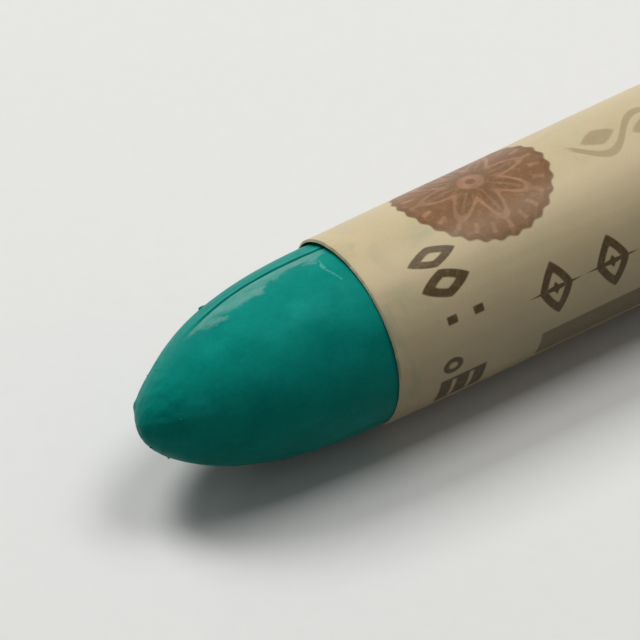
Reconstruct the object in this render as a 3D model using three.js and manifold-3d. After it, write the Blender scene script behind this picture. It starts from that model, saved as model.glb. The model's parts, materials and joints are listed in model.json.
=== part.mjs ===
// An oil pastel: a moulded stick of pigment bound with oil and wax, in a loose
// paper sleeve that is wound just over once round it and glued along its lap.
// Millimetres, +Z up. The stick lies along X with its nose towards -X, and the
// sleeve rests on the ground at Z = 0.

import * as THREE from 'three';
import { mergeVertices } from 'three/addons/utils/BufferGeometryUtils.js';
import Module from 'manifold-3d';

const wasm = await Module();
wasm.setup();

// Stick
const STICK_LENGTH = 70;
const STICK_DIAMETER = 10;
const NOSE_LENGTH = 13;
const NOSE_FULLNESS = 2.374; // how long the nose stays near its full width
const NOSE_BLUNTNESS = 0.649; // 0.5 gives a round tip, 1 a pointed one
const TIP_WEAR = 0.08; // length rubbed off the moulded tip
const TAIL_EDGE_RADIUS = 0.4;

// Flash, the thin ridge that the two halves of the mould leave along the stick
const PARTING_ANGLE = 64; // degrees about X, from +Y towards +Z
const FLASH_HEIGHT = 0.05;
const FLASH_WIDTH = 0.14;

// Paper sleeve
const LABEL_LENGTH = 51;
const PAPER_THICKNESS = 0.12;
const SLEEVE_CLEARANCE = 0.08; // all round, between the flash and the paper
const REST_CLEARANCE = 0.02; // left where the stick lies on the paper
const UNDERSIDE_FLATTENING = 0.08; // depth of the flat that the sleeve lies on

// Lap, where the sheet's outer end is glued over its inner end
const LAP_START = 298; // degrees about X, at the edge of the inner layer
const LAP_ANGLE = 55;
const CLIMB_ANGLE = 9; // over which the sheet rises onto its inner layer
const GLUE_THICKNESS = 0.04;
const GLUE_EDGE_STEPS = 1; // steps of the lap left dry along each edge

// Fineness of the curves
const RIM_STEPS = 72;
const NOSE_STEPS = 22;
const NOSE_STEP_CROWDING = 1.8; // above 1, the steps shorten towards the tip
const TAIL_EDGE_STEPS = 3;
const MERGE_DISTANCE = 1e-4;

// Sizes that follow from them
const FULL_TURN = 360;
const DOWN = 270;
const stickRadius = STICK_DIAMETER / 2;
const tipX = -STICK_LENGTH / 2;
const tailX = STICK_LENGTH / 2;
const noseBaseX = tipX + NOSE_LENGTH;
const sleeveRadius = stickRadius + FLASH_HEIGHT + SLEEVE_CLEARANCE;
const lapRise = PAPER_THICKNESS + GLUE_THICKNESS;
const roomUnderStick = sleeveRadius - stickRadius - UNDERSIDE_FLATTENING;
const stickDrop = Math.min(SLEEVE_CLEARANCE, roomUnderStick) - REST_CLEARANCE;

// Radius of the nose at a distance from its base, as a rounded bullet
function noseRadius(distance) {
  const share = distance / (NOSE_LENGTH + TIP_WEAR);
  return stickRadius * (1 - share ** NOSE_FULLNESS) ** NOSE_BLUNTNESS;
}

// The stick's side from the nose's base to the tip, as [x, radius] pairs
function noseProfile() {
  const profile = [];
  for (let i = 0; i <= NOSE_STEPS; i += 1) {
    const distance = NOSE_LENGTH * (1 - (1 - i / NOSE_STEPS) ** NOSE_STEP_CROWDING);
    profile.push([noseBaseX - distance, noseRadius(distance)]);
  }
  return profile;
}

// The rounded edge of the tail, from the end face to the stick's side
function tailProfile() {
  const profile = [];
  for (let i = 0; i <= TAIL_EDGE_STEPS; i += 1) {
    const turn = (Math.PI / 2) * (i / TAIL_EDGE_STEPS);
    const x = tailX - TAIL_EDGE_RADIUS * (1 - Math.cos(turn));
    const radius = stickRadius - TAIL_EDGE_RADIUS * (1 - Math.sin(turn));
    profile.push([x, radius]);
  }
  return profile;
}

// A closed solid from a geometry whose triangles meet edge to edge
function toSolid(geometry) {
  geometry.deleteAttribute('normal');
  geometry.deleteAttribute('uv');
  const merged = mergeVertices(geometry, MERGE_DISTANCE);
  const corners = merged.index.array;
  const triangles = [];
  for (let i = 0; i < corners.length; i += 3) {
    const [a, b, c] = corners.slice(i, i + 3);
    if (a !== b && b !== c && c !== a) {
      triangles.push(a, b, c);
    }
  }
  return new wasm.Manifold(new wasm.Mesh({
    numProp: 3,
    vertProperties: merged.attributes.position.array,
    triVerts: Uint32Array.from(triangles),
  }));
}

function toGeometry(solid) {
  const { vertProperties, triVerts } = solid.getMesh();
  const geometry = new THREE.BufferGeometry();
  geometry.setAttribute('position', new THREE.BufferAttribute(vertProperties, 3));
  geometry.setIndex(new THREE.BufferAttribute(triVerts, 1));
  geometry.computeVertexNormals();
  return geometry;
}

// The stick without its flash, turned so that one facet faces each ridge
function turnedBody() {
  const side = [...tailProfile(), ...noseProfile()];
  const outline = [[tailX, 0], ...side, [tipX, 0]].reverse();
  const points = outline.map(([x, radius]) => new THREE.Vector2(radius, x));
  const halfFacet = Math.PI / RIM_STEPS;
  const firstSeam = THREE.MathUtils.degToRad(PARTING_ANGLE) - Math.PI / 2 - halfFacet;
  const body = new THREE.LatheGeometry(points, RIM_STEPS, firstSeam);
  return body.rotateZ(-Math.PI / 2);
}

// A thin plate through the axis, whose rim stands out as the flash and fades
// towards the tip
function flashPlate() {
  const ridge = noseProfile().map(([x, radius]) => {
    const share = (noseBaseX - x) / NOSE_LENGTH;
    return new THREE.Vector2(x, radius + FLASH_HEIGHT * (1 - share ** 2));
  });
  const tailEnd = new THREE.Vector2(tailX - TAIL_EDGE_RADIUS, stickRadius + FLASH_HEIGHT);
  const upper = [tailEnd, ...ridge];
  const lower = upper.map((point) => new THREE.Vector2(point.x, -point.y)).reverse();
  const outline = new THREE.Shape([...upper, ...lower]);
  const plate = new THREE.ExtrudeGeometry(outline, { depth: FLASH_WIDTH, bevelEnabled: false });
  plate.translate(0, 0, -FLASH_WIDTH / 2);
  return plate.rotateX(THREE.MathUtils.degToRad(PARTING_ANGLE));
}

// A point of the sleeve's section, cut off by the flat on its underside
function sectionPoint(angle, radius) {
  const turn = THREE.MathUtils.degToRad(angle);
  const fromDown = Math.cos(THREE.MathUtils.degToRad(angle - DOWN));
  const flatDepth = radius - UNDERSIDE_FLATTENING;
  const clipped = radius * fromDown > flatDepth ? flatDepth / fromDown : radius;
  return new THREE.Vector2(clipped * Math.cos(turn), clipped * Math.sin(turn));
}

// Angles from one to another in equal steps, both ends included
function anglesBetween(from, to) {
  const steps = Math.ceil((to - from) * (RIM_STEPS / FULL_TURN));
  return Array.from({ length: steps + 1 }, (_, i) => from + (to - from) * (i / steps));
}

// Radius of the sheet's inner face at an angle turned from its inner edge
function sheetRadius(turned) {
  const climbed = (turned - FULL_TURN + CLIMB_ANGLE) / CLIMB_ANGLE;
  return sleeveRadius + lapRise * THREE.MathUtils.clamp(climbed, 0, 1);
}

// A band of the section between two faces, extruded along the stick
function woundBand(turnedAngles, innerRadius, thickness) {
  const inner = turnedAngles.map((turned) => (
    sectionPoint(LAP_START + turned, innerRadius(turned))
  ));
  const outer = turnedAngles.map((turned) => (
    sectionPoint(LAP_START + turned, innerRadius(turned) + thickness)
  ));
  const outline = new THREE.Shape([...outer, ...inner.reverse()]);
  const band = new THREE.ExtrudeGeometry(outline, { depth: LABEL_LENGTH, bevelEnabled: false });
  const alongX = new THREE.Matrix4().makeBasis(
    new THREE.Vector3(0, 1, 0),
    new THREE.Vector3(0, 0, 1),
    new THREE.Vector3(1, 0, 0),
  );
  return band.applyMatrix4(alongX);
}

function namedMesh(name, geometry, colour, roughness) {
  const material = new THREE.MeshStandardMaterial({ color: colour, roughness, metalness: 0 });
  const mesh = new THREE.Mesh(geometry, material);
  mesh.name = name;
  return mesh;
}

function pastelStick() {
  const solid = toSolid(turnedBody()).add(toSolid(flashPlate()));
  return namedMesh('pastel_stick', toGeometry(solid), 0x087f74, 0.45);
}

const lapAngles = anglesBetween(0, LAP_ANGLE);

function paperLabel() {
  const turnedAngles = [
    ...lapAngles,
    ...anglesBetween(LAP_ANGLE, FULL_TURN - CLIMB_ANGLE).slice(1),
    ...anglesBetween(FULL_TURN - CLIMB_ANGLE, FULL_TURN).slice(1),
    ...lapAngles.slice(1).map((turned) => turned + FULL_TURN),
  ];
  const band = woundBand(turnedAngles, sheetRadius, PAPER_THICKNESS);
  return namedMesh('paper_label', band, 0xd3c4a0, 0.6);
}

function glueLine() {
  const turnedAngles = lapAngles.slice(GLUE_EDGE_STEPS, -GLUE_EDGE_STEPS);
  const layerRadius = () => sleeveRadius + PAPER_THICKNESS;
  const band = woundBand(turnedAngles, layerRadius, GLUE_THICKNESS);
  return namedMesh('glue_line', band, 0xcdbb8a, 0.35);
}

// The sleeve starts where the nose begins, and the stick lies low inside it
const sleeve = new THREE.Group();
sleeve.add(paperLabel(), glueLine());
sleeve.position.x = noseBaseX;

const stick = pastelStick();
stick.position.z = -stickDrop;

const pastel = new THREE.Group();
pastel.add(stick, sleeve);
const rest = new THREE.Box3().setFromObject(pastel);
pastel.position.z = -rest.min.z;

export default pastel;
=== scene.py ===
import json
import math
import random

import bmesh
import bpy
from bpy.props import FloatProperty, FloatVectorProperty, PointerProperty
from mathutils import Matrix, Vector, noise


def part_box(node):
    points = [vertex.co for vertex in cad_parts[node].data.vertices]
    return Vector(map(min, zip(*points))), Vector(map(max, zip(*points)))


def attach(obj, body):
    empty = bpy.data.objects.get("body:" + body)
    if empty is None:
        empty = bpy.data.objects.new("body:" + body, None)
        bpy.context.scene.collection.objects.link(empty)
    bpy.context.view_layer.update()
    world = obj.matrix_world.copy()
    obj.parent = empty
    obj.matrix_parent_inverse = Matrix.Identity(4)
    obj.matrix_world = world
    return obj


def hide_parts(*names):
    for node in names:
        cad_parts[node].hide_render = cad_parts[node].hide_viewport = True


bl_info = {
    "name": "Oil Pastel",
    "version": (1, 0, 0),
    "blender": (4, 5, 0),
    "location": "3D View > Sidebar > Pastel",
    "description": "Builds a worn oil pastel in its loose paper label",
    "category": "Object",
}

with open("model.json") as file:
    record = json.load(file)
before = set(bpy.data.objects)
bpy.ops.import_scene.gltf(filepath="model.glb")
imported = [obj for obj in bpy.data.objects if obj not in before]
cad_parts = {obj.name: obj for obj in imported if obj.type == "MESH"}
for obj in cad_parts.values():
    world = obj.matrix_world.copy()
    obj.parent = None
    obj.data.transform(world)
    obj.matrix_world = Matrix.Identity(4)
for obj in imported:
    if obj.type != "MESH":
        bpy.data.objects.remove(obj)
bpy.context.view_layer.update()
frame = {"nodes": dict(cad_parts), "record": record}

MM = 0.001

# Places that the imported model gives
STICK_LOW, STICK_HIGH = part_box("pastel_stick")
LABEL_LOW, LABEL_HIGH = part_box("paper_label")
STICK_AXIS_Z = frame["record"]["mounts"][0]["pos_m"][2]

# The seam of the mould, in degrees about X from +Y towards +Z, and how far it
# wanders from there to the nose's tip, between two distances from the nose's base
SEAM_ANGLE = 66
SEAM_WANDER = -6
WANDER_START, WANDER_END = -1.0, 6.5

# Half the angle that is finely meshed round a seam, and its flash and groove
SEAM_ZONE = 8
SEAM_WIDTH = 0.07 * MM
GROOVE_OFFSET = 0.21 * MM
GROOVE_WIDTH = 0.09 * MM
GROOVE_DEPTH = 0.065 * MM

# The nose's outline, as a rounded bullet
NOSE_FULLNESS = 2.374
NOSE_BLUNTNESS = 0.649
TIP_WEAR = 0.08 * MM

# How deep the flat tail sinks in its middle, as the wax shrinks in the mould, and
# the share of the radius that sinks
TAIL_DISH = 0.12 * MM
DISH_RIM = 0.86
DISH_RINGS = (0.0, 0.12, 0.24, 0.36, 0.48, 0.6, 0.7, 0.78, DISH_RIM)

# Fineness of the stick's outline. Crowding above 1 shortens the steps to the tip
TAIL_EDGE_STEPS = 5
SIDE_STEPS = 66
NOSE_STEPS = 84
NOSE_CROWDING = 1.35

# Steps round the stick: over the seam, its near side, the second seam and the rest
ROUND_STEPS = (56, 118, 24, 92)

# The softly worn side of the tip: a plane by its outward normal and its distance,
# and the depth over which the nose rounds into it
WORN_NORMAL = Vector((-0.951, 0.280, -0.127))
WORN_DISTANCE = 33.12 * MM
WORN_BLEND = 1.80 * MM

# A small burr that the wear has left on the tip's rim
BURR_PLACE = Vector((-34.005, 1.514, 5.480)) * MM
BURR_HEIGHT = 0.13 * MM
BURR_WIDTH = 0.45 * MM

# Crumbs on the nose, as the distance from its base in mm, the angle in degrees and
# the radius in mm, and ranges of the same for more small ones near the tip. Each one
# is stretched along X, Y and Z, and sinks in by a share of its radius
CRUMBS = (
    (6.35, 38.0, 0.17),
    (5.6, 57.0, 0.05),
    (10.75, 32.0, 0.06),
    (12.5, 236.0, 0.09),
    (11.9, 240.0, 0.06),
    (11.5, 246.0, 0.10),
)
MORE_CRUMBS = 10
CRUMB_RANGES = ((9.8, 12.5), (0, 360), (0.03, 0.07))
CRUMB_STRETCHES = ((0.8, 1.3), (0.5, 0.9), (0.5, 0.9))
CRUMB_SINKING = 0.25

# The sheet's winding, in degrees about X from +Y towards +Z
LAP_START = 298
CLIMB_ANGLE = 9
FULL_TURN = 360
DOWN = 270

# The sheet's mesh: its steps along and round, and how they crowd towards its ends
SHEET_STEPS = (150, 208)
SHEET_CROWDING = 0.6

# How far the outer side of the sheet's front edge lies behind its inner side
EDGE_SLANT = 0.07 * MM

# Room that the paper keeps from the stick, and from the flash along its seams
PAPER_ROOM = 0.02 * MM
FLASH_ROOM = 0.095 * MM

# Pale tone of the surroundings, where they are seen
SURROUNDINGS = (0.71, 0.71, 0.70)

# The camera: its direction from the nose in degrees, its lens, and its distance in mm
CAMERA_AZIMUTH = -35.75
CAMERA_ELEVATION = 40.8
CAMERA_LENS = 600
CAMERA_DISTANCE = 550.7

# Print places count from the front edge in mm and round the sleeve in degrees, each
# of which is this many mm long
ARC_PER_DEGREE = 0.09163
SHEET_MAP = "sheet"


# Settings


def length_setting(name, description, millimetres):
    return FloatProperty(
        name=name, description=description, default=millimetres * MM, unit="LENGTH"
    )


def colour_setting(name, description, default):
    return FloatVectorProperty(
        name=name,
        description=description,
        subtype="COLOR",
        size=3,
        default=default,
        min=0,
        max=1,
    )


class PastelStickSettings(bpy.types.PropertyGroup):
    """Sizes and colour of the moulded stick"""

    diameter: length_setting("Diameter", "Thickness of the stick behind its nose", 10)
    nose_length: length_setting("Nose Length", "Length of the rounded nose", 13)
    tail_edge: length_setting("Tail Edge", "Radius of the edge round the tail", 0.4)
    flash_height: length_setting(
        "Flash Height", "How far the thin ridge on the mould's seam stands out", 0.05
    )
    pigment: colour_setting(
        "Pigment", "Colour of the oil and wax body", (0.001, 0.230, 0.186)
    )


class PastelLabelSettings(bpy.types.PropertyGroup):
    """Sizes and colours of the paper label"""

    paper_thickness: length_setting(
        "Paper Thickness", "Thickness of the label's paper", 0.12
    )
    clearance: length_setting(
        "Clearance", "Gap all round between the flash and the paper", 0.08
    )
    flattening: length_setting(
        "Flattening", "Depth of the flat that the label lies on", 0.08
    )
    lap_angle: FloatProperty(
        name="Lap Angle",
        description="How far the sheet's outer end covers its inner end",
        default=math.radians(55),
        subtype="ANGLE",
    )
    glue_thickness: length_setting(
        "Glue Thickness", "Thickness of the dried glue under the lap", 0.04
    )
    paper: colour_setting(
        "Paper", "Colour of the paper's coated front", (0.585, 0.485, 0.297)
    )
    ink: colour_setting(
        "Dark Ink", "Colour of the dark olive print", (0.055, 0.026, 0.002)
    )
    seal: colour_setting(
        "Seal Ink", "Colour of the round brown ornament", (0.192, 0.073, 0.022)
    )


class PastelStageSettings(bpy.types.PropertyGroup):
    """Floor and lamps"""

    floor: colour_setting("Floor", "Colour of the floor", (0.80, 0.80, 0.78))
    key_power: FloatProperty(
        name="Key Power",
        description="Power of the main lamp in watts",
        default=2.08,
        min=0,
    )
    fill_strength: FloatProperty(
        name="Fill Strength",
        description="Brightness of the light from all sides",
        default=0.17,
        min=0,
    )


# Shader helpers


class Nodes:
    """Adds nodes to a tree and joins them by plain calls"""

    def __init__(self, tree):
        self.tree = tree

    def add(self, kind, settings=None, **inputs):
        node = self.tree.nodes.new(kind)
        for name, value in (settings or {}).items():
            setattr(node, name, value)
        for name, value in inputs.items():
            self.feed(node.inputs[name.replace("_", " ")], value)
        return node

    def feed(self, socket, value):
        if isinstance(value, bpy.types.NodeSocket):
            self.tree.links.new(value, socket)
        else:
            socket.default_value = value

    def math(self, operation, *values, clamp=False):
        node = self.add("ShaderNodeMath", {"operation": operation, "use_clamp": clamp})
        for socket, value in zip(node.inputs, values):
            self.feed(socket, value)
        return node.outputs[0]

    def in_turn(self, operation, total, *others):
        """One operation over several values, from the first to the last"""
        for value in others:
            total = self.math(operation, total, value)
        return total

    def times(self, *values):
        return self.in_turn("MULTIPLY", *values)

    def plus(self, *values):
        return self.in_turn("ADD", *values)

    def minus(self, *values):
        return self.in_turn("SUBTRACT", *values)

    def highest(self, *values):
        return self.in_turn("MAXIMUM", *values)

    def hypot(self, first, second):
        """The long side over two short ones"""
        squares = self.plus(self.times(first, first), self.times(second, second))
        return self.math("SQRT", squares)

    def fade(self, value, start, end, low=0.0, high=1.0):
        """Low before start, high after end, and smooth between them"""
        node = self.add("ShaderNodeMapRange", {"interpolation_type": "SMOOTHSTEP"})
        for socket, item in zip(node.inputs, (value, start, end, low, high)):
            self.feed(socket, item)
        return node.outputs[0]

    def drop(self, value, start, end):
        """One before start, nothing after end, and smooth between them"""
        return self.fade(value, start, end, 1.0, 0.0)

    def bell(self, value, middle, width):
        """One at the middle, fading to nothing on both sides of it"""
        off = self.math("DIVIDE", self.minus(value, middle), width)
        return self.math("EXPONENT", self.times(self.times(off, off), -1.0))

    def mix(self, factor, first, second):
        node = self.add("ShaderNodeMix", {"data_type": "RGBA"})
        self.feed(node.inputs[0], factor)
        for socket, value in zip(node.inputs[6:8], (first, second)):
            self.feed(socket, (*value, 1) if isinstance(value, tuple) else value)
        return node.outputs[2]

    def noise(self, vector, scale, detail=3.0, roughness=0.5, distortion=0.0):
        """Noise of one fineness, or of three for X, Y and Z"""
        if isinstance(scale, tuple):
            vector, scale = self.scaled(vector, scale), 1.0
        node = self.add(
            "ShaderNodeTexNoise",
            Vector=vector,
            Scale=scale,
            Detail=detail,
            Roughness=roughness,
            Distortion=distortion,
        )
        return node.outputs["Fac"]

    def scaled(self, vector, scale, location=(0, 0, 0)):
        return self.add(
            "ShaderNodeMapping", Vector=vector, Location=location, Scale=scale
        ).outputs[0]

    def split(self, vector):
        return self.add("ShaderNodeSeparateXYZ", Vector=vector).outputs

    def group(self, tree, *values):
        """A shader group's output, by the values of its inputs in their order"""
        node = self.add("ShaderNodeGroup", {"node_tree": tree})
        for socket, value in zip(node.inputs, values):
            self.feed(socket, value)
        return node.outputs[0]

    def mix_shaders(self, factor, *shaders):
        node = self.add("ShaderNodeMixShader", Fac=factor)
        for socket, shader in zip(node.inputs[1:], shaders):
            self.feed(socket, shader.outputs[0])
        return node.outputs[0]


def shared_group(name, inputs, output, build):
    """A shader group that is built once, by a function of its nodes and inputs

    An input called Vector is one, and the others and the output are floats.
    """
    if name in bpy.data.node_groups:
        return bpy.data.node_groups[name]
    tree = bpy.data.node_groups.new(name, "ShaderNodeTree")
    for label in inputs:
        kind = "NodeSocketVector" if label == "Vector" else "NodeSocketFloat"
        tree.interface.new_socket(name=label, in_out="INPUT", socket_type=kind)
    tree.interface.new_socket(
        name=output, in_out="OUTPUT", socket_type="NodeSocketFloat"
    )
    source = tree.nodes.new("NodeGroupInput").outputs
    target = tree.nodes.new("NodeGroupOutput").inputs[output]
    n = Nodes(tree)
    n.feed(target, build(n, source))
    return tree


def mottling_nodes(n, source):
    cloud = n.noise(source["Vector"], source["Cloud Scale"], 4.0, 0.55)
    grain = n.noise(source["Vector"], source["Grain Scale"], 5.0, 0.65)
    share = source["Grain Share"]
    return n.plus(n.times(cloud, n.minus(1.0, share)), n.times(grain, share))


def mottled(n, *values):
    """Cloudy and fine grain, centred on a half, by its place, two scales and a share"""
    inputs = ("Vector", "Cloud Scale", "Grain Scale", "Grain Share")
    return n.group(shared_group("mottling", inputs, "Value", mottling_nodes), *values)


MARK_INPUTS = (
    "Along", "Round", "Middle Along", "Middle Round", "Half Along", "Half Round",
    "Softness",
)


def mark_offsets(n, source):
    """How far a point lies from a mark's middle along and round, with its half sizes"""
    return [
        (
            n.math("ABSOLUTE", n.minus(source[axis], source["Middle " + axis])),
            source["Half " + axis],
        )
        for axis in ("Along", "Round")
    ]


def mark_nodes(n, source):
    corner, softness = source["Corner"], source["Softness"]
    powers = [
        n.math("POWER", n.math("DIVIDE", off, half), corner)
        for off, half in mark_offsets(n, source)
    ]
    reach = n.math("POWER", n.plus(*powers), n.math("DIVIDE", 1.0, corner))
    return n.drop(reach, n.minus(1.0, softness), n.plus(1.0, softness))


def mark_group():
    """Mask of one printed lozenge, by a corner of 1, or oval, by a corner of 2"""
    return shared_group("printed_mark", (*MARK_INPUTS, "Corner"), "Mask", mark_nodes)


def block_nodes(n, source):
    softness = source["Softness"]
    past = [n.minus(off, half) for off, half in mark_offsets(n, source)]
    farther = n.math("SMOOTH_MAX", *past, 0.12)
    return n.drop(farther, n.times(softness, -1.0), softness)


def block_group():
    """Mask of one printed block, with its softness in mm"""
    return shared_group("printed_block", MARK_INPUTS, "Mask", block_nodes)


def new_material(name, **inputs):
    """An empty material, the nodes' helper, and its shader with a few inputs set"""
    material = bpy.data.materials.new(name)
    material.use_nodes = True
    tree = material.node_tree
    tree.nodes.clear()
    n = Nodes(tree)
    shader = n.add("ShaderNodeBsdfPrincipled", **inputs)
    n.add("ShaderNodeOutputMaterial", Surface=shader.outputs[0])
    return material, n, shader


def finish_surface(n, shader, colour, roughness, relief, depth, strength):
    """Feeds the shader its colour, its roughness and the bumps of a relief"""
    n.feed(shader.inputs["Base Color"], colour)
    n.feed(shader.inputs["Roughness"], roughness)
    bump = n.add("ShaderNodeBump", Height=relief, Distance=depth, Strength=strength)
    n.feed(shader.inputs["Normal"], bump.outputs[0])


def in_millimetres(n):
    """Object coordinates with a unit of one millimetre"""
    place = n.add("ShaderNodeTexCoord").outputs["Object"]
    return n.scaled(place, (1000, 1000, 1000))


def darker(colour, share):
    return tuple(part * share for part in colour)


def lighter(colour, share, more=0.0):
    return tuple(min(1.0, part * share + more) for part in colour)


# Materials


def scratch_mask(n, from_base, angle, radius):
    """Mask of a few short strokes, by distance from the nose's base and angle"""
    # Each stroke's start and end, in mm along and degrees round, and its width
    strokes = (
        (0.97, 85, 1.0, 88.5, 0.11),
        (1.0, 90, 0.70, 101, 0.06),
        (0.80, 80, 0.95, 85, 0.03),
    )
    masks = []
    degrees = n.times(angle, 180 / math.pi)
    turned = n.plus(degrees, n.times(n.math("LESS_THAN", degrees, 0.0), 360.0))
    arc = n.times(radius, math.pi / 180)
    for start_x, start_turn, end_x, end_turn, width in strokes:
        # Place relative to the stroke's start, in mm along and round
        along = n.minus(from_base, start_x)
        across = n.times(n.minus(turned, start_turn), arc)
        run = end_x - start_x
        rise = n.times(arc, float(end_turn - start_turn))
        dot = n.plus(n.times(along, run), n.times(across, rise))
        length = n.plus(n.times(rise, rise), run * run)
        share = n.math("DIVIDE", dot, length, clamp=True)
        off_along = n.minus(along, n.times(share, run))
        off_across = n.minus(across, n.times(share, rise))
        off = n.hypot(off_along, off_across)
        masks.append(n.drop(off, width * 0.4, width * 1.3))
    return n.highest(*masks)


def painted_highlight_mask(n, from_base, off_seam, torn):
    """Where a highlight is painted beside the seam, with ragged edges

    Its reach from the seam, in mm, swells where it is widest and near the label.
    """
    reach = n.plus(n.bell(from_base, 5.6, 2.2), 0.80)
    reach = n.plus(reach, n.times(n.bell(from_base, 1.0, 1.0), 0.42))
    rough_reach = n.plus(reach, n.times(n.minus(torn, 0.5), 2.2))
    inside = n.fade(n.minus(rough_reach, off_seam), -0.14, 0.34)
    ends = n.times(n.fade(from_base, -0.2, 0.4), n.drop(from_base, 8.2, 9.2))
    beside = n.times(inside, n.fade(off_seam, 0.28, 0.5))
    return n.times(beside, ends, n.fade(torn, 0.25, 0.75, 0.45, 1.0))


def seam_masks(n, x, from_base, off_seam):
    """Masks of the groove beside the seam, where shade is painted, and of the flash's
    crest, where a highlight is painted
    """
    tail = STICK_HIGH.x / MM
    ends = n.times(n.drop(from_base, 6.9, 8.6), n.drop(x, tail - 0.7, tail - 0.4))
    off_groove = n.math("ABSOLUTE", n.minus(off_seam, GROOVE_OFFSET / MM))
    groove = n.times(n.drop(off_groove, 0.05, 0.19), ends)
    crest_highlight = n.times(n.drop(n.math("ABSOLUTE", off_seam), 0.03, 0.12), ends)
    return groove, crest_highlight


def haze_and_highlight_mask(n, place, from_base, angle):
    """Faint haze all over, and a painted highlight on the nose's flank"""
    clouds = n.noise(place, (0.5, 0.9, 0.9), 4.0, 0.55, 0.4)
    # A painted highlight on the nose's flank, as a lighter patch of wax colour
    flank_highlight = n.times(
        n.bell(from_base, 4.0, 1.4),
        n.bell(angle, math.radians(105), math.radians(13)),
        n.fade(clouds, 0.35, 0.65, 0.16, 0.34),
    )
    return n.plus(n.fade(clouds, 0.50, 0.75, 0.0, 0.10), flank_highlight)


def wax_material(stick):
    """Oily pigment, paler in its scratch, with painted highlights and painted groove
    shade
    """
    material, n, shader = new_material(
        "oil_wax", Specular_IOR_Level=0.14, Specular_Tint=(0.12, 1.0, 0.92, 1), IOR=1.46
    )
    pigment = stick.pigment
    place = in_millimetres(n)
    x, y, z = n.split(place)
    clouds = mottled(n, place, 0.45, 5.0, 0.35)
    colour = n.mix(
        n.fade(clouds, 0.3, 0.7), darker(pigment, 0.86), lighter(pigment, 1.16, 0.004)
    )

    # Angle round the stick and the distance from the seam
    height = n.minus(z, STICK_AXIS_Z / MM)
    angle = n.math("ARCTAN2", height, y)
    radius = n.hypot(height, y)
    from_base = n.minus((STICK_LOW.x + stick.nose_length) / MM, x)
    seam_ends = (math.radians(SEAM_ANGLE), math.radians(SEAM_ANGLE + SEAM_WANDER))
    seam = n.fade(from_base, WANDER_START, WANDER_END, *seam_ends)
    off_seam = n.times(n.minus(angle, seam), radius)
    groove, crest_highlight = seam_masks(n, x, from_base, off_seam)
    # Painted shade in the groove beside the seam, and a painted highlight on the flash's
    # crest
    colour = n.mix(n.times(groove, 0.75), colour, darker(pigment, 0.22))
    colour = n.mix(n.times(crest_highlight, 0.35), colour, (0.05, 0.42, 0.35))

    # A painted highlight along the near side of the seam, and haze elsewhere, with a
    # painted highlight on the nose's flank
    torn = n.noise(place, (0.8, 1.5, 1.5), 6.0, 0.58, 0.5)
    painted_highlight = painted_highlight_mask(n, from_base, off_seam, torn)
    # Pale wax colour painted in as a highlight beside the seam
    colour = n.mix(n.times(painted_highlight, 0.34), colour, (0.34, 0.53, 0.48))
    haze_and_highlight = haze_and_highlight_mask(n, place, from_base, angle)
    colour = n.mix(haze_and_highlight, colour, (0.02, 0.44, 0.375))

    # A fresh forked scratch near the label
    crumbled = n.fade(n.noise(place, 4.5, 3.0, 0.6), 0.36, 0.6, 0.25, 1.0)
    scratch = n.times(scratch_mask(n, from_base, angle, radius), crumbled)
    colour = n.mix(n.times(scratch, 0.5), colour, (0.16, 0.56, 0.51))

    # The finish is smeared along the stick, glossier under the painted highlight, dull
    # in the groove
    smears = n.noise(place, (0.45, 1.8, 1.8), 4.0, 0.6, 0.6)
    finish = n.plus(n.fade(smears, 0.35, 0.7, 0.46, 0.58), n.times(painted_highlight, -0.14))
    finish = n.math("ADD", finish, n.times(groove, 0.5), clamp=True)

    # Relief: slow moulding waves, smeared streaks, fine grain, the ragged patch of the
    # painted highlight and scratch
    streaks = n.noise(place, (0.8, 2.4, 2.4), 5.0, 0.6, 0.5)
    grain = n.noise(place, 13.0, 4.0, 0.6)
    waves = n.noise(place, 0.35, 2.0, 0.5)
    relief = n.plus(
        n.times(waves, 0.6),
        n.times(streaks, 0.12),
        n.times(grain, 0.014),
        n.times(torn, painted_highlight, 0.35),
        n.times(scratch, -0.5),
    )
    finish_surface(n, shader, colour, finish, relief, 0.05 * MM, 0.8)
    return material


def paper_place(n):
    """Distance along the label and round it, in mm, from its own map"""
    place = n.add("ShaderNodeUVMap", {"uv_map": SHEET_MAP}).outputs[0]
    label = bpy.context.scene.pastel_label
    length = (LABEL_HIGH.x - LABEL_LOW.x) / MM
    turned = FULL_TURN + math.degrees(label.lap_angle)
    first = (LAP_START - FULL_TURN) * ARC_PER_DEGREE
    return n.scaled(place, (length, turned * ARC_PER_DEGREE, 1), (0, first, 0))


def place_mark(n, tree, along, around, middle, half, *finish):
    """A mark's mask, by its middle in mm and degrees, half sizes in mm and finish"""
    middle = (middle[0], middle[1] * ARC_PER_DEGREE)
    return n.group(tree, along, around, *middle, *half, *finish)


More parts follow.
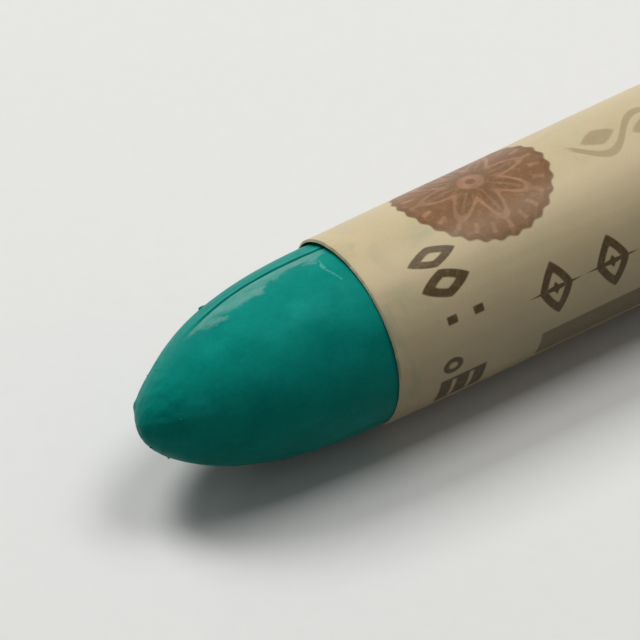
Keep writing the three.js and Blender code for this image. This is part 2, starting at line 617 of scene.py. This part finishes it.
def dark_mask(n, along, around):
    """Mask of the dark ink: a column of shapes, a row of lozenges and a bar"""

    def mark(middle, half, corner, softness, along=along):
        return place_mark(
            n, mark_group(), along, around, middle, half, softness, corner
        )

    def block(middle, half, softness):
        return place_mark(n, block_group(), along, around, middle, half, softness)

    # A column of small shapes near the front edge
    shapes = n.highest(
        mark((4.1, 114.5), (1.5, 0.62), 1.25, 0.06),
        mark((4.1, 131.5), (1.5, 0.78), 1.25, 0.06),
        block((3.7, 152.5), (0.31, 0.23), 0.05),
        block((5.35, 153.0), (0.31, 0.23), 0.05),
        mark((3.35, 181.0), (0.62, 0.5), 2.0, 0.10),
        block((4.1, 202.0), (1.45, 1.0), 0.07),
    )
    holes = n.highest(
        mark((4.1, 114.5), (0.62, 0.22), 1.25, 0.2),
        mark((4.1, 131.5), (0.62, 0.30), 1.25, 0.2),
        mark((3.35, 181.0), (0.27, 0.2), 2.0, 0.3),
        block((3.55, 202.0), (0.13, 0.8), 0.07),
        block((4.65, 202.0), (0.13, 0.8), 0.07),
    )
    column = n.times(shapes, n.minus(1.0, holes))

    # A row of lozenges along the label, between its first and last places
    pitch, first, count = 3.65, 10.1, 10
    middle = (0.0, 162.0)
    steps = n.math("DIVIDE", n.minus(along, first), pitch)
    nearest = n.math("ROUND", steps)
    within = n.times(n.minus(steps, nearest), pitch)
    past_first = n.math("GREATER_THAN", nearest, -0.5)
    shown = n.times(past_first, n.math("LESS_THAN", nearest, count - 0.5))
    outer = mark(middle, (1.05, 1.5), 1.2, 0.05, within)
    inner = mark(middle, (0.55, 0.85), 1.2, 0.1, within)
    core = mark(middle, (0.22, 0.35), 1.2, 0.2, within)
    tips = mark(middle, (1.7, 0.16), 1.0, 0.2, within)
    row = n.times(n.highest(n.minus(outer, inner), core, tips), shown)

    bar = block((26.5, 201.0), (17.4, 1.05), 0.08)
    rule = block((26.5, 220.0), (17.4, 0.10), 0.05)
    return n.highest(column, row, n.times(n.highest(bar, rule), 0.74))


def rosette_masks(n, along, around):
    """Masks of a round rosette with a notched rim: all of it, its lines and shade"""
    notches, petal_count, spoke_pairs = 30.0, 8.0, 12.0
    across = n.minus(along, 9.05)
    up = n.minus(around, 77 * ARC_PER_DEGREE)
    reach = n.hypot(across, up)
    turn = n.math("ARCTAN2", up, across)
    notch = n.times(n.math("COSINE", n.times(turn, notches)), 0.07)
    notched = n.plus(reach, notch)
    disc = n.drop(notched, 4.22, 4.38)

    petals = n.math("COSINE", n.times(turn, petal_count))
    petal_reach = n.plus(2.35, n.times(petals, 0.75))
    petal_edge = n.math("ABSOLUTE", n.minus(reach, petal_reach))
    within_petals = n.fade(n.minus(petal_reach, reach), 0.2, 0.55)
    veins = n.math("COSINE", n.times(turn, 3 * petal_count))
    veined = n.times(
        within_petals, n.fade(veins, 0.1, 0.9, 0.0, 0.5), n.fade(reach, 0.95, 1.25)
    )

    ring = n.math("ABSOLUTE", n.minus(reach, 3.55))
    spoke = n.math("ABSOLUTE", n.math("SINE", n.times(turn, spoke_pairs)))
    spokes = n.times(n.drop(spoke, 0.20, 0.62), n.drop(ring, 0.26, 0.38))
    eye = n.times(n.drop(reach, 0.62, 0.85), n.fade(reach, 0.22, 0.34))
    lines = n.highest(n.drop(petal_edge, 0.13, 0.34), spokes, eye, veined)
    rim = n.fade(notched, 3.92, 4.02)
    return disc, lines, n.highest(rim, n.times(within_petals, 0.8))


def scroll_mask(n, along, around):
    """Mask of a pale scroll with leaves beyond the rosette"""
    middle, pitch = 93, 2.856
    swing = n.math("SINE", n.times(n.minus(along, 15.0), 1.1))
    centre = n.plus(middle * ARC_PER_DEGREE, n.times(swing, 0.95))
    stem = n.drop(n.math("ABSOLUTE", n.minus(around, centre)), 0.17, 0.32)
    steps = n.math("DIVIDE", n.minus(along, 16.43), pitch)
    nearest = n.math("ROUND", steps)
    within = n.times(n.minus(steps, nearest), pitch)
    side = n.minus(n.times(n.math("PINGPONG", nearest, 1.0), 2.0), 1.0)
    beside = n.minus(around, n.times(side, 0.35))
    leaf = place_mark(
        n, mark_group(), within, beside, (0.0, middle), (1.05, 0.62), 0.14, 1.3
    )
    zone = n.times(n.fade(along, 14.4, 14.9), n.drop(along, 43.6, 44.1))
    return n.times(n.highest(stem, leaf), zone)


def smear_mask(n, along, place):
    """Where pigment has come off on the paper's front edge"""
    patches = n.noise(place, (0.7, 0.35, 1), 4.0, 0.6, 0.8)
    wide = n.times(n.drop(along, 0.0, 2.6), n.fade(patches, 0.46, 0.66))
    thin = n.times(n.drop(along, 0.0, 0.22), n.fade(patches, 0.3, 0.6, 0.05, 0.4))
    return n.math("ADD", n.times(wide, 0.45), thin, clamp=True)


def paper_colour(n, place, tone, fibres, paper, pigment):
    """The paper with its fibres, slow ageing and pigment from handling"""
    colour = n.mix(n.fade(tone, 0.32, 0.68), darker(paper, 0.93), lighter(paper, 1.05))
    colour = n.mix(n.fade(fibres, 0.56, 0.74, 0.0, 0.06), colour, darker(paper, 0.72))
    ageing = n.noise(place, (0.11, 0.16, 1), 3.0, 0.5, 0.4)
    aged = (paper[0] * 1.01, paper[1] * 0.95, paper[2] * 0.90)
    colour = n.mix(n.fade(ageing, 0.40, 0.66, 0.0, 0.35), colour, aged)
    handled = n.noise(n.scaled(place, (0.16, 0.30, 1), (7, 3, 0)), 1.0, 5.0, 0.6, 0.9)
    handled = n.fade(handled, 0.55, 0.78, 0.0, 0.16)
    return n.mix(handled, colour, darker(pigment, 0.9))


def seal_colour(n, place, seal, lines, shade):
    """The rosette's brown ink, paler in its lines and darker in its shade and clouds"""
    colour = n.mix(n.times(shade, 0.6), seal, darker(seal, 0.62))
    colour = n.mix(n.times(lines, 0.72), colour, lighter(seal, 1.7, 0.07))
    clouds = n.noise(place, 0.8, 4.0, 0.6)
    return n.mix(n.fade(clouds, 0.35, 0.65, 0.0, 0.45), colour, darker(seal, 0.68))


def front_material(label, stick):
    material, n, shader = new_material(
        "printed_paper", Specular_IOR_Level=0.30, Specular_Tint=(1.0, 0.88, 0.70, 1)
    )
    place = paper_place(n)
    along, around, _ = n.split(place)
    tone = mottled(n, in_millimetres(n), 0.25, 9.0, 0.45)
    fibres = n.noise(place, (3.0, 11.0, 1), 5.0, 0.7, 1.2)
    colour = paper_colour(n, place, tone, fibres, label.paper, stick.pigment)

    # Ink, thinner where it is worn
    worn = n.noise(place, 2.4, 5.0, 0.7)
    speck = n.fade(n.noise(place, 9.0, 3.0, 0.7), 0.32, 0.42, 0.86, 1.0)
    cover = n.times(n.fade(worn, 0.28, 0.52, 0.84, 1.0), speck)
    scroll = n.times(scroll_mask(n, along, around), n.times(cover, 0.55))
    colour = n.mix(scroll, colour, (0.27, 0.185, 0.095))
    disc, lines, shade = rosette_masks(n, along, around)
    seal = seal_colour(n, place, tuple(label.seal), lines, shade)
    colour = n.mix(n.times(disc, n.times(cover, 0.92)), colour, seal)
    dark = dark_mask(n, along, around)
    colour = n.mix(n.times(dark, n.times(cover, 0.95)), colour, tuple(label.ink))

    # Pigment rubbed off on the front edge
    smear = smear_mask(n, along, place)
    colour = n.mix(n.times(smear, 0.6), colour, darker(stick.pigment, 0.8))

    inked = n.highest(dark, disc)
    finish = n.plus(n.fade(tone, 0.3, 0.7, 0.33, 0.43), n.times(inked, -0.03))

    # Relief: fibres, soft creases along the stick and the film of ink
    crease = n.noise(place, (0.10, 0.7, 1), 1.0, 0.4, 0.3)
    grain = n.noise(place, 16.0, 4.0, 0.7)
    relief = n.plus(
        n.plus(crease, n.times(fibres, 0.10)),
        n.plus(n.times(grain, 0.05), n.times(inked, 0.06)),
    )
    finish_surface(n, shader, colour, finish, relief, 0.06 * MM, 0.7)
    return material


def back_material(label, stick):
    material, n, shader = new_material("paper_back")
    paper = label.paper
    plain = (paper[0] * 1.02, paper[1] * 1.08, paper[2] * 1.25)
    place = in_millimetres(n)
    tone = mottled(n, place, 0.3, 7.0, 0.5)
    colour = n.mix(n.fade(tone, 0.3, 0.7), darker(plain, 0.86), plain)
    stain = n.noise(place, (0.3, 0.8, 0.8), 4.0, 0.6, 0.5)
    stained = darker(stick.pigment, 0.7)
    colour = n.mix(n.fade(stain, 0.42, 0.62, 0.05, 0.5), colour, stained)
    finish = n.fade(tone, 0.3, 0.7, 0.72, 0.86)
    fibres = n.noise(place, (4.0, 9.0, 9.0), 5.0, 0.7, 1.0)
    finish_surface(n, shader, colour, finish, fibres, 0.02 * MM, 0.7)
    return material


def edge_material(stick):
    material, n, shader = new_material("paper_edge")
    place = in_millimetres(n)
    tone = mottled(n, place, 0.8, 11.0, 0.5)
    # The cut edge's own pale core, made paler still as painted light where the lamps
    # hardly reach it
    pale_cut_with_painted_light = (0.86, 0.72, 0.52)
    colour = n.mix(n.fade(tone, 0.35, 0.65), darker(pale_cut_with_painted_light, 0.82), pale_cut_with_painted_light)
    stain = n.noise(place, 0.55, 3.0, 0.6)
    stained = darker(stick.pigment, 0.35)
    colour = n.mix(n.fade(stain, 0.50, 0.70, 0.04, 0.30), colour, stained)
    finish = n.fade(tone, 0.3, 0.7, 0.7, 0.9)
    finish_surface(n, shader, colour, finish, tone, 0.02 * MM, 0.6)
    return material


def glue_material():
    material, n, shader = new_material("dried_glue")
    place = in_millimetres(n)
    tone = mottled(n, place, 0.5, 4.0, 0.4)
    colour = n.mix(n.fade(tone, 0.3, 0.7), (0.40, 0.29, 0.12), (0.66, 0.54, 0.30))
    finish = n.fade(tone, 0.3, 0.7, 0.25, 0.45)
    bubbles = n.add("ShaderNodeTexVoronoi", Vector=place, Scale=2.2, Randomness=1.0)
    relief = n.fade(bubbles.outputs["Distance"], 0.05, 0.25)
    finish_surface(n, shader, colour, finish, relief, 0.01 * MM, 0.6)
    return material


def seen_mask(n):
    """One for the rays that show a background, and nothing for those that light"""
    rays = n.add("ShaderNodeLightPath").outputs
    return n.highest(
        rays["Is Camera Ray"], rays["Is Glossy Ray"], rays["Is Transmission Ray"]
    )


def floor_material(stage):
    material, n, shader = new_material(
        "pale_floor", Roughness=0.8, Specular_IOR_Level=0.0
    )
    place = n.add("ShaderNodeTexCoord").outputs["Object"]
    tone = mottled(n, place, 14.0, 900.0, 0.5)
    floor = tuple(stage.floor)
    colour = n.mix(n.fade(tone, 0.3, 0.7), darker(floor, 0.975), floor)
    seen = seen_mask(n)
    n.feed(shader.inputs["Base Color"], n.mix(seen, darker(floor, 0.3), colour))

    # Far from the pastel the floor turns into the pale surroundings
    distance = n.add("ShaderNodeVectorMath", {"operation": "LENGTH"}, Vector=place)
    far = n.fade(distance.outputs["Value"], 0.065, 0.22)
    pale = n.add("ShaderNodeEmission", Color=(*SURROUNDINGS, 1), Strength=1.0)
    both = n.mix_shaders(n.times(far, seen), shader, pale)
    ending = next(node for node in n.tree.nodes if node.type == "OUTPUT_MATERIAL")
    n.feed(ending.inputs["Surface"], both)
    return material


# Modelling helpers


def start_clean():
    if bpy.context.mode != "OBJECT":
        bpy.ops.object.mode_set(mode="OBJECT")
    bpy.ops.object.select_all(action="DESELECT")


def name_active(name):
    made = bpy.context.view_layer.objects.active
    made.name = name
    made.data.name = name
    return made


def settle(made):
    """Puts the object at the origin with its place in its mesh"""
    start_clean()
    made.select_set(True)
    bpy.context.view_layer.objects.active = made
    bpy.ops.object.transform_apply(location=True, rotation=True, scale=True)


def clamped(share):
    return min(1.0, max(0.0, share))


def ripple(x, y, z, scale, octaves=3):
    """Repeatable noise between about -1 and 1, for places in metres"""
    return noise.fractal(Vector((x, y, z)) * (scale / MM), 1.0, 2.0, octaves)


def near_angle(angle, middle, width):
    """One at an angle, fading to nothing on both sides of it, in degrees"""
    off = ((angle - middle + 180) % 360 - 180) / width
    return math.exp(-(off**2))


def nose_radius(distance, stick):
    share = distance / (stick.nose_length + TIP_WEAR)
    return stick.diameter / 2 * (1 - share**NOSE_FULLNESS) ** NOSE_BLUNTNESS


def stick_profile(stick):
    """The stick's outline from the middle of its tail to its tip"""
    radius = stick.diameter / 2
    tail = STICK_HIGH.x
    nose_base = STICK_LOW.x + stick.nose_length
    profile = [
        (tail - TAIL_DISH * (1 - (share / DISH_RIM) ** 2), radius * share)
        for share in DISH_RINGS
    ]
    for i in range(TAIL_EDGE_STEPS + 1):
        turn = math.pi / 2 * i / TAIL_EDGE_STEPS
        profile.append((
            tail - stick.tail_edge * (1 - math.cos(turn)),
            radius - stick.tail_edge * (1 - math.sin(turn)),
        ))
    start = tail - stick.tail_edge
    for i in range(1, SIDE_STEPS + 1):
        profile.append((start + (nose_base - start) * i / SIDE_STEPS, radius))
    for i in range(1, NOSE_STEPS + 1):
        distance = stick.nose_length * (1 - (1 - i / NOSE_STEPS) ** NOSE_CROWDING)
        profile.append((nose_base - distance, nose_radius(distance, stick)))
    profile.append((STICK_LOW.x, profile[-1][1] * 0.5))
    profile.append((STICK_LOW.x, 0.0))
    return profile


def spin_profile(profile, first_angle, arcs):
    """Draws an outline by extruding a corner, and turns it round the stick's axis"""
    start_clean()
    side = 1 * MM
    bpy.ops.mesh.primitive_plane_add(size=side, location=(0, 0, 0))
    bpy.ops.object.mode_set(mode="EDIT")
    bpy.ops.mesh.select_all(action="DESELECT")
    mesh = bpy.context.object.data
    edit = bmesh.from_edit_mesh(mesh)
    edit.verts.ensure_lookup_table()
    for vertex in edit.verts[1:]:
        vertex.select_set(True)
    edit.select_flush(True)
    bmesh.update_edit_mesh(mesh)
    bpy.ops.mesh.delete(type="VERT")

    turn = math.radians(first_angle)
    places = [
        Vector((x, r * math.cos(turn), STICK_AXIS_Z + r * math.sin(turn)))
        for x, r in profile
    ]
    bpy.ops.mesh.select_all(action="SELECT")
    corner = Vector((-side / 2, -side / 2, 0))
    bpy.ops.transform.translate(value=places[0] - corner)
    for before, after in zip(places, places[1:]):
        bpy.ops.mesh.extrude_region_move(
            TRANSFORM_OT_translate={"value": after - before}
        )
    bpy.ops.mesh.select_all(action="SELECT")
    for angle, steps in arcs:
        bpy.ops.mesh.spin(
            steps=steps,
            angle=math.radians(angle),
            center=(0, 0, STICK_AXIS_Z),
            axis=(1, 0, 0),
        )
    bpy.ops.mesh.select_all(action="SELECT")
    bpy.ops.mesh.remove_doubles(threshold=0.0005 * MM)
    bpy.ops.mesh.normals_make_consistent(inside=False)
    bpy.ops.object.mode_set(mode="OBJECT")


def seam_turn(x, stick):
    """Angle of the seam at a place along the stick"""
    from_base = (STICK_LOW.x + stick.nose_length - x) / MM
    share = clamped((from_base - WANDER_START) / (WANDER_END - WANDER_START))
    return math.radians(SEAM_ANGLE + SEAM_WANDER * share * share * (3 - 2 * share))


def seam_relief(x, off_seam, fade):
    """Height of the ragged flash and its groove at a distance from the seam"""
    ragged = 0.8 + 0.55 * ripple(x, 0, 0, 1.7)
    broken = 0.35 if ripple(x, 0.01, 0, 0.55, 2) > 0.32 else 1.0
    flash = math.exp(-((off_seam / SEAM_WIDTH) ** 2)) * max(0.15, ragged * broken)
    off_groove = (off_seam - GROOVE_OFFSET) / GROOVE_WIDTH
    groove = math.exp(-(off_groove**2)) * (0.9 + 0.4 * ripple(x, 0.02, 0, 0.8))
    return flash * fade, -GROOVE_DEPTH * groove * fade


def stick_wear(x, angle, radius, stick):
    """How far the worn surface lies from the true outline, outwards"""
    nose_base = STICK_LOW.x + stick.nose_length
    on_nose = max(0.0, (nose_base - x) / stick.nose_length)
    y = radius * math.cos(angle)
    z = radius * math.sin(angle)

    # Slow and fine unevenness all over, and the rubbed side of the tip
    slow = 0.5 + 0.5 * ripple(x, y, z, 0.22, 2)
    fine = 0.5 + 0.5 * ripple(x, y, z, 1.1, 3)
    change = -0.02 * MM * slow - 0.004 * MM * fine
    rubbed = math.exp(-(((on_nose - 0.82) / 0.16) ** 2))
    change -= 0.17 * MM * rubbed * near_angle(math.degrees(angle), 38, 45)

    # The seam and the fainter one opposite, which end before the tip
    first_seam = seam_turn(x, stick)
    fade = 1 - clamped((on_nose - 0.58) / 0.16)
    fade *= fade * (3 - 2 * fade)
    for seam, share in ((first_seam, 1.0), (first_seam - math.pi, 0.7)):
        off = (angle - seam + math.pi) % (2 * math.pi) - math.pi
        rise, sink = seam_relief(x, off * radius, fade)
        change += share * (rise * stick.flash_height + sink)

    # Rough wear on the tip
    rough_start = 0.72
    if on_nose > rough_start:
        rough = min(1.0, (on_nose - rough_start) / 0.2)
        change -= rough * 0.09 * MM * (0.5 + 0.5 * ripple(x, y, z, 1.7, 3))
        change -= rough * 0.06 * MM * max(0.0, ripple(x, y, z, 0.9, 2))
    return change


def worn_depth(place):
    """How much is rubbed off the tip's worn side at a place, less its burr"""
    past = WORN_NORMAL.dot(place) - WORN_DISTANCE
    burr = BURR_HEIGHT * math.exp(-(((place - BURR_PLACE).length / BURR_WIDTH) ** 2))
    if past > WORN_BLEND:
        return past - burr
    return max(0.0, past + WORN_BLEND) ** 2 / (4 * WORN_BLEND) - burr


def worn_place(x, y, up, stick):
    """Where a point of the true outline lies on the worn surface"""
    radius = max(math.hypot(y, up), 0.001 * MM)
    change = stick_wear(x, math.atan2(up, y), radius, stick)
    change *= min(1.0, radius / (1.2 * MM))
    if x > STICK_HIGH.x - stick.tail_edge / 2:
        change = min(change, 0) * 1.5
    share = 1 + change / radius
    place = Vector((x, y * share, STICK_AXIS_Z + up * share))
    return place - WORN_NORMAL * worn_depth(place)


class PASTEL_OT_add_stick(bpy.types.Operator):
    """Turns the moulded stick and wears its surface"""

    bl_idname = "pastel.add_stick"
    bl_label = "Add Stick"

    def execute(self, context):
        stick = context.scene.pastel_stick
        zone = 2 * SEAM_ZONE
        rest = 180 - zone
        arcs = zip((zone, rest, zone, rest), ROUND_STEPS)
        spin_profile(stick_profile(stick), SEAM_ANGLE - SEAM_ZONE, arcs)
        made = name_active("moulded_stick")
        for vertex in made.data.vertices:
            x, y, z = vertex.co
            vertex.co = worn_place(x, y, z - STICK_AXIS_Z, stick)
        bpy.ops.object.shade_smooth()
        made.data.materials.append(wax_material(stick))
        settle(made)
        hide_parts("pastel_stick")
        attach(made, "stick")
        return {"FINISHED"}


def drawn(ranges):
    """One random number from each range, in turn"""
    return [random.uniform(*ends) for ends in ranges]


def add_crumb(distance, angle, size, stick):
    """One uneven lump on the worn surface, by its place on the nose"""
    turn = math.radians(angle)
    radius = nose_radius(distance * MM, stick)
    middle = worn_place(
        STICK_LOW.x + stick.nose_length - distance * MM,
        radius * math.cos(turn),
        radius * math.sin(turn),
        stick,
    )
    outwards = Vector((0, math.cos(turn), math.sin(turn)))
    middle -= outwards * CRUMB_SINKING * size * MM
    bpy.ops.mesh.primitive_ico_sphere_add(
        subdivisions=3, radius=size * MM, location=middle
    )
    crumb = bpy.context.object
    bpy.ops.object.mode_set(mode="EDIT")
    bpy.ops.mesh.select_all(action="SELECT")
    bpy.ops.transform.resize(value=drawn(CRUMB_STRETCHES), center_override=middle)
    bpy.ops.object.mode_set(mode="OBJECT")
    for vertex in crumb.data.vertices:
        out = vertex.co.copy()
        bump = ripple(*(out + middle), 3.5, 3)
        vertex.co = out * (1 + 0.35 * bump)
    return crumb


class PASTEL_OT_add_crumbs(bpy.types.Operator):
    """Adds the small crumbs and flakes that cling to the stick"""

    bl_idname = "pastel.add_crumbs"
    bl_label = "Add Crumbs"

    def execute(self, context):
        stick = context.scene.pastel_stick
        random.seed(7)
        spots = [*CRUMBS, *(drawn(CRUMB_RANGES) for _ in range(MORE_CRUMBS))]
        start_clean()
        crumbs = [add_crumb(*spot, stick) for spot in spots]
        start_clean()
        for crumb in crumbs:
            crumb.select_set(True)
        bpy.context.view_layer.objects.active = crumbs[0]
        bpy.ops.object.join()
        made = name_active("wax_crumbs")
        bpy.ops.object.shade_smooth()
        made.data.materials.append(bpy.data.materials["oil_wax"])
        settle(made)
        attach(made, "stick")
        return {"FINISHED"}


def sheet_point(along, turned, label, stick):
    """A point of the sheet's inner face, by its place along and round"""
    inner = stick.diameter / 2 + stick.flash_height + label.clearance
    axis_z = inner + label.paper_thickness - label.flattening
    climbed = (turned - FULL_TURN + CLIMB_ANGLE) / CLIMB_ANGLE
    rise = label.paper_thickness + label.glue_thickness
    radius = inner + rise * clamped(climbed)
    angle = LAP_START + turned
    turn = math.radians(angle)
    from_down = math.cos(math.radians(angle - DOWN))
    flat = radius - label.flattening
    if radius * from_down > flat:
        radius = flat / from_down

    # The paper waves a little, except where it lies on the ground
    upper = clamped((1 - from_down) / 1.2)
    circle = Vector((math.cos(turn), math.sin(turn)))
    wave = ripple(along, circle.x * 5 * MM, circle.y * 5 * MM, 0.12, 2)
    radius += 0.02 * MM * upper * wave

    # It clings to the stick in front, and its edge curls outwards behind the seam
    cling = near_angle(angle, 27, 20) + near_angle(angle, 122, 36)
    cling += near_angle(angle, 205, 50)
    radius -= 0.09 * MM * min(1.0, cling) * max(0.0, 1 - along / (9 * MM)) ** 2
    front = max(0.0, 1 - along / (1.5 * MM))
    radius += 0.08 * MM * front**2 * near_angle(angle, 66, 17)

    # Both ends are slightly ragged, and the front one is drawn back in two places
    ragged = 0.02 * MM * (1 + ripple(circle.x * 5 * MM, circle.y * 5 * MM, 0, 1.6, 4))
    x = LABEL_LOW.x + along
    x += ragged * max(0.0, 1 - along / (0.5 * MM))
    drawn_back = 0.42 * near_angle(angle, 26, 18) + 0.45 * near_angle(angle, 247, 22)
    x += drawn_back * MM * max(0.0, 1 - along / (4 * MM))
    length = LABEL_HIGH.x - LABEL_LOW.x
    x -= ragged * max(0.0, 1 - (length - along) / (0.5 * MM))
    y = radius * math.cos(turn)
    z = axis_z + radius * math.sin(turn)
    return Vector((x, *clear_of_stick(y, z, stick)))


def clear_of_stick(y, z, stick):
    """Moves a point of the paper out of the stick and its flash"""
    up = z - STICK_AXIS_Z
    radius = stick.diameter / 2
    angle = math.degrees(math.atan2(up, y))
    least = radius + PAPER_ROOM
    for side in (0, 180):
        least = max(least, radius + FLASH_ROOM * near_angle(angle, SEAM_ANGLE + side, 6))
    share = max(1.0, least / math.hypot(y, up))
    return y * share, STICK_AXIS_Z + up * share


def wind_sheet(label, stick):
    """Winds a grid into the sheet's inner face, and maps it to the print's places"""
    length = LABEL_HIGH.x - LABEL_LOW.x
    turned_all = FULL_TURN + math.degrees(label.lap_angle)
    along_steps, round_steps = SHEET_STEPS
    start_clean()
    bpy.ops.mesh.primitive_grid_add(
        x_subdivisions=along_steps, y_subdivisions=round_steps, size=1, calc_uvs=True
    )
    made = name_active("wound_label")
    layer = made.data.uv_layers[0]
    layer.name = SHEET_MAP
    shares = []
    for vertex in made.data.vertices:
        along = vertex.co.x + 0.5
        along -= SHEET_CROWDING * math.sin(2 * math.pi * along) / (2 * math.pi)
        around = vertex.co.y + 0.5
        shares.append((along, around))
        vertex.co = sheet_point(along * length, around * turned_all, label, stick)
    for loop in made.data.loops:
        layer.data[loop.index].uv = shares[loop.vertex_index]
    bpy.ops.object.mode_set(mode="EDIT")
    bpy.ops.mesh.select_all(action="SELECT")
    bpy.ops.mesh.flip_normals()
    bpy.ops.object.mode_set(mode="OBJECT")
    front = [index for index, (along, _) in enumerate(shares) if along < 1e-6]
    return made, front


class PASTEL_OT_add_label(bpy.types.Operator):
    """Winds the printed paper label and gives it its thickness"""

    bl_idname = "pastel.add_label"
    bl_label = "Add Label"

    def execute(self, context):
        stick = context.scene.pastel_stick
        label = context.scene.pastel_label
        made, front = wind_sheet(label, stick)
        solid = made.modifiers.new("thickness", "SOLIDIFY")
        solid.thickness = label.paper_thickness
        solid.offset = 1
        solid.use_even_offset = True
        bpy.ops.object.modifier_apply(modifier=solid.name)

        # The front edge is cut at a slant, which lets its outer side lie back. The
        # outer side keeps the sheet's own indices
        for index in front:
            made.data.vertices[index].co.x += EDGE_SLANT

        for material in (
            front_material(label, stick),
            back_material(label, stick),
            edge_material(stick),
        ):
            made.data.materials.append(material)
        axis_z = (LABEL_LOW.z + LABEL_HIGH.z) / 2
        for face in made.data.polygons:
            out = Vector((0, face.center.y, face.center.z - axis_z)).normalized()
            facing = face.normal.dot(out)
            face.material_index = 0 if facing > 0.5 else 1 if facing < -0.5 else 2
        bpy.ops.object.shade_smooth_by_angle(angle=math.radians(40))
        settle(made)
        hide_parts("paper_label")
        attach(made, "sleeve")
        return {"FINISHED"}


class PASTEL_OT_finish_glue(bpy.types.Operator):
    """Gives the glue under the lap its dried amber finish"""

    bl_idname = "pastel.finish_glue"
    bl_label = "Finish Glue"

    def execute(self, context):
        glue = frame["nodes"]["glue_line"]
        glue.data.materials.clear()
        glue.data.materials.append(glue_material())
        return {"FINISHED"}


def add_floor(stage):
    start_clean()
    bpy.ops.mesh.primitive_circle_add(
        vertices=96, radius=6, fill_type="NGON", location=(0, 0, 0)
    )
    floor = name_active("floor")
    floor.data.materials.append(floor_material(stage))
    settle(floor)


def add_lamp(name, direction, distance, size, power):
    """A soft rectangular lamp at a distance from the nose, turned towards it"""
    nose = Vector((-24 * MM, 0, 5 * MM))
    lamp = bpy.data.lights.new(name, "AREA")
    lamp.shape = "RECTANGLE"
    lamp.size, lamp.size_y = size
    lamp.energy = power
    holder = bpy.data.objects.new(name, lamp)
    bpy.context.scene.collection.objects.link(holder)
    holder.location = nose + direction.normalized() * distance
    holder.rotation_mode = "QUATERNION"
    holder.rotation_quaternion = direction.to_track_quat("Z", "Y")
    return holder


def add_surroundings(scene, strength):
    """A world that lights evenly and shows a pale background"""
    world = bpy.data.worlds.new("studio")
    scene.world = world
    world.use_nodes = True
    world.node_tree.nodes.clear()
    n = Nodes(world.node_tree)
    dim = n.add("ShaderNodeBackground", Color=(1, 1, 1, 1), Strength=strength)
    pale = n.add("ShaderNodeBackground", Color=(*SURROUNDINGS, 1), Strength=1.0)
    both = n.mix_shaders(seen_mask(n), dim, pale)
    n.add("ShaderNodeOutputWorld", Surface=both)


def add_camera(scene):
    """A long lens that looks down at the nose and the label's front edge"""
    azimuth, elevation = math.radians(CAMERA_AZIMUTH), math.radians(CAMERA_ELEVATION)
    back = Vector((
        math.sin(azimuth) * math.cos(elevation),
        -math.cos(azimuth) * math.cos(elevation),
        math.sin(elevation),
    ))
    right = Vector((math.cos(azimuth), math.sin(azimuth), 0))
    up = back.cross(right)
    rim = Vector((LABEL_LOW.x, 0, 5.17 * MM))
    aim = rim - 1.110 * MM * right + 0.774 * MM * up
    lens = bpy.data.cameras.new("camera")
    lens.lens = CAMERA_LENS
    lens.sensor_width = 36
    lens.clip_start = 0.01
    lens.clip_end = 100
    camera = bpy.data.objects.new("camera", lens)
    scene.collection.objects.link(camera)
    camera.rotation_mode = "QUATERNION"
    camera.location = aim + back * CAMERA_DISTANCE * MM
    camera.rotation_quaternion = back.to_track_quat("Z", "Y")
    scene.camera = camera


class PASTEL_OT_add_stage(bpy.types.Operator):
    """Adds the floor, the lamps and the camera"""

    bl_idname = "pastel.add_stage"
    bl_label = "Add Stage"

    def execute(self, context):
        scene = context.scene
        stage = scene.pastel_stage
        add_floor(stage)
        key = add_lamp(
            "key", Vector((-0.03, 0.55, 0.80)), 0.6, (0.26, 0.26), stage.key_power
        )
        key.visible_glossy = False
        add_lamp("rim", Vector((0.225, 0.925, 0.303)), 0.5, (0.10, 0.05), 0.09)
        add_lamp("sheen", Vector((0.44, 0.04, 0.90)), 0.5, (0.24, 0.24), 0.98)
        add_surroundings(scene, stage.fill_strength)
        add_camera(scene)
        scene.view_settings.view_transform = "Standard"
        return {"FINISHED"}


class PASTEL_PT_panel(bpy.types.Panel):
    """Lists the pastel's settings and steps"""

    bl_label = "Oil Pastel"
    bl_idname = "PASTEL_PT_panel"
    bl_space_type = "VIEW_3D"
    bl_region_type = "UI"
    bl_category = "Pastel"

    def draw(self, context):
        column = self.layout.column()
        for owner in SETTINGS:
            group = getattr(context.scene, owner)
            for name in group.__annotations__:
                column.prop(group, name)
        for step in STEPS:
            column.operator(step.bl_idname)


SETTINGS = {
    "pastel_stick": PastelStickSettings,
    "pastel_label": PastelLabelSettings,
    "pastel_stage": PastelStageSettings,
}
STEPS = (
    PASTEL_OT_add_stick,
    PASTEL_OT_add_crumbs,
    PASTEL_OT_add_label,
    PASTEL_OT_finish_glue,
    PASTEL_OT_add_stage,
)
CLASSES = (*SETTINGS.values(), *STEPS, PASTEL_PT_panel)


def register():
    for item in CLASSES:
        bpy.utils.register_class(item)
    for owner, settings in SETTINGS.items():
        setattr(bpy.types.Scene, owner, PointerProperty(type=settings))


def unregister():
    for owner in SETTINGS:
        delattr(bpy.types.Scene, owner)
    for item in reversed(CLASSES):
        bpy.utils.unregister_class(item)


def main():
    register()
    bpy.ops.pastel.add_stick()
    bpy.ops.pastel.add_crumbs()
    bpy.ops.pastel.add_label()
    bpy.ops.pastel.finish_glue()
    bpy.ops.pastel.add_stage()


if __name__ == "__main__":
    main()
